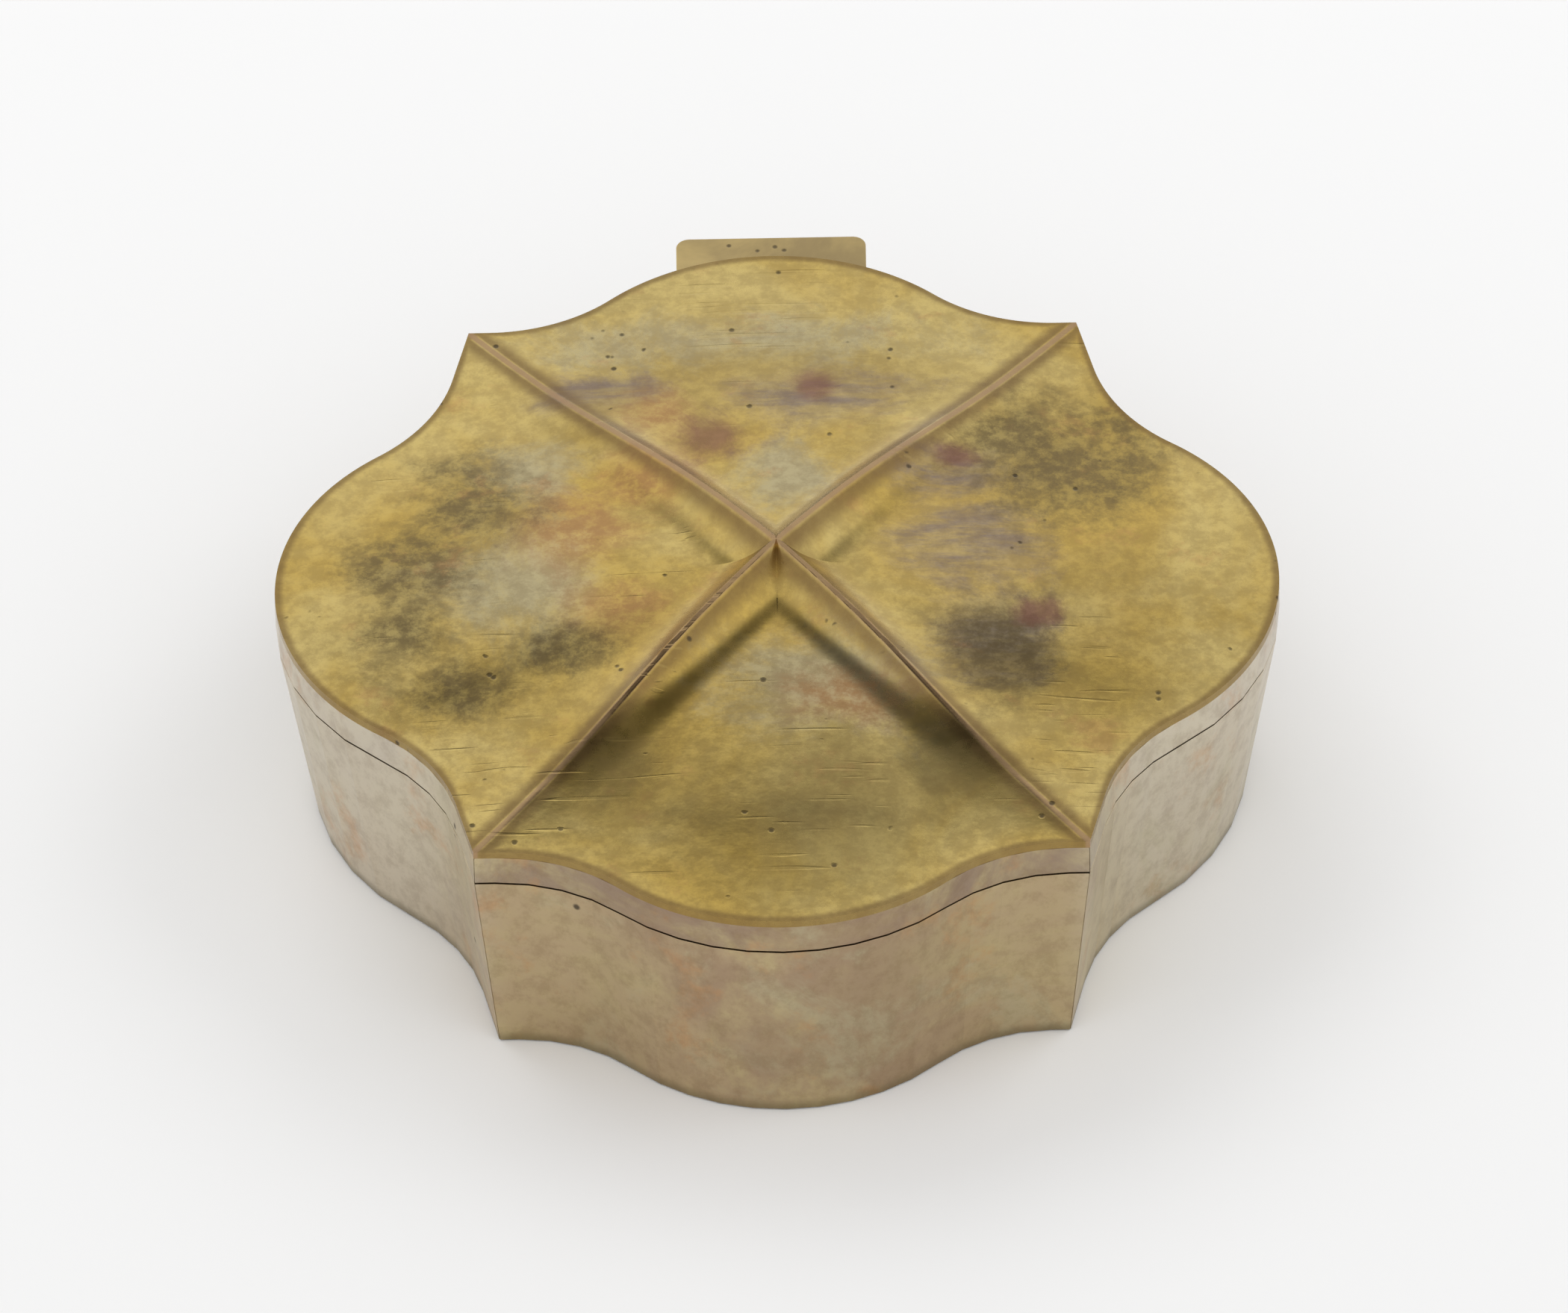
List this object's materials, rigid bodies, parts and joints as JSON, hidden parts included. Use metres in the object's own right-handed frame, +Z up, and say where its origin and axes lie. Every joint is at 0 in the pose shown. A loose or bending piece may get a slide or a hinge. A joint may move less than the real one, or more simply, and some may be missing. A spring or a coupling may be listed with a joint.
{
  "type": "lidded box",
  "caption": "Low brass box with a quatrefoil plan, ogee walls, a hinged lid with crossing ridges and dished panels, and an inner collar.",
  "frame": {"origin": "middle of the flat underside, between the four corner arrises", "axes": "+Z up through the lid, -Y towards the front, +X to the right; the hinge is at +Y"},
  "size_m": [0.15, 0.156, 0.0466],
  "materials": {
    "brass_wall": "worn, patinated brass",
    "brass_lid": "worn brass with olive and lilac patina",
    "brass_band": "worn, patinated brass",
    "brass_inside": "dull brass",
    "brass_hinge": "dull brass",
    "steel_pin": "worn steel wire"
  },
  "bodies": {
    "base": {"floor_plate": "brass_inside", "wall_front": "brass_wall", "wall_right": "brass_wall", "wall_back": "brass_wall", "wall_left": "brass_wall", "collar_front": "brass_inside", "collar_right": "brass_inside", "collar_back": "brass_inside", "collar_left": "brass_inside", "hinge_base_leaf": "brass_hinge", "hinge_base_knuckle_left": "brass_hinge", "hinge_base_knuckle_right": "brass_hinge", "hinge_pin": "steel_pin"},
    "lid": {"lid_top": "brass_lid", "lid_band_front": "brass_band", "lid_band_right": "brass_band", "lid_band_back": "brass_band", "lid_band_left": "brass_band", "hinge_lid_leaf": "brass_hinge", "hinge_lid_knuckle": "brass_hinge"}
  },
  "joints": [
    {"name": "lid_hinge", "type": "hinge", "parent": "base", "child": "lid", "pos_m": [0, 0.0782, 0.0311], "axis": [-1, 0, 0], "range_deg": [0, 105]}
  ]
}
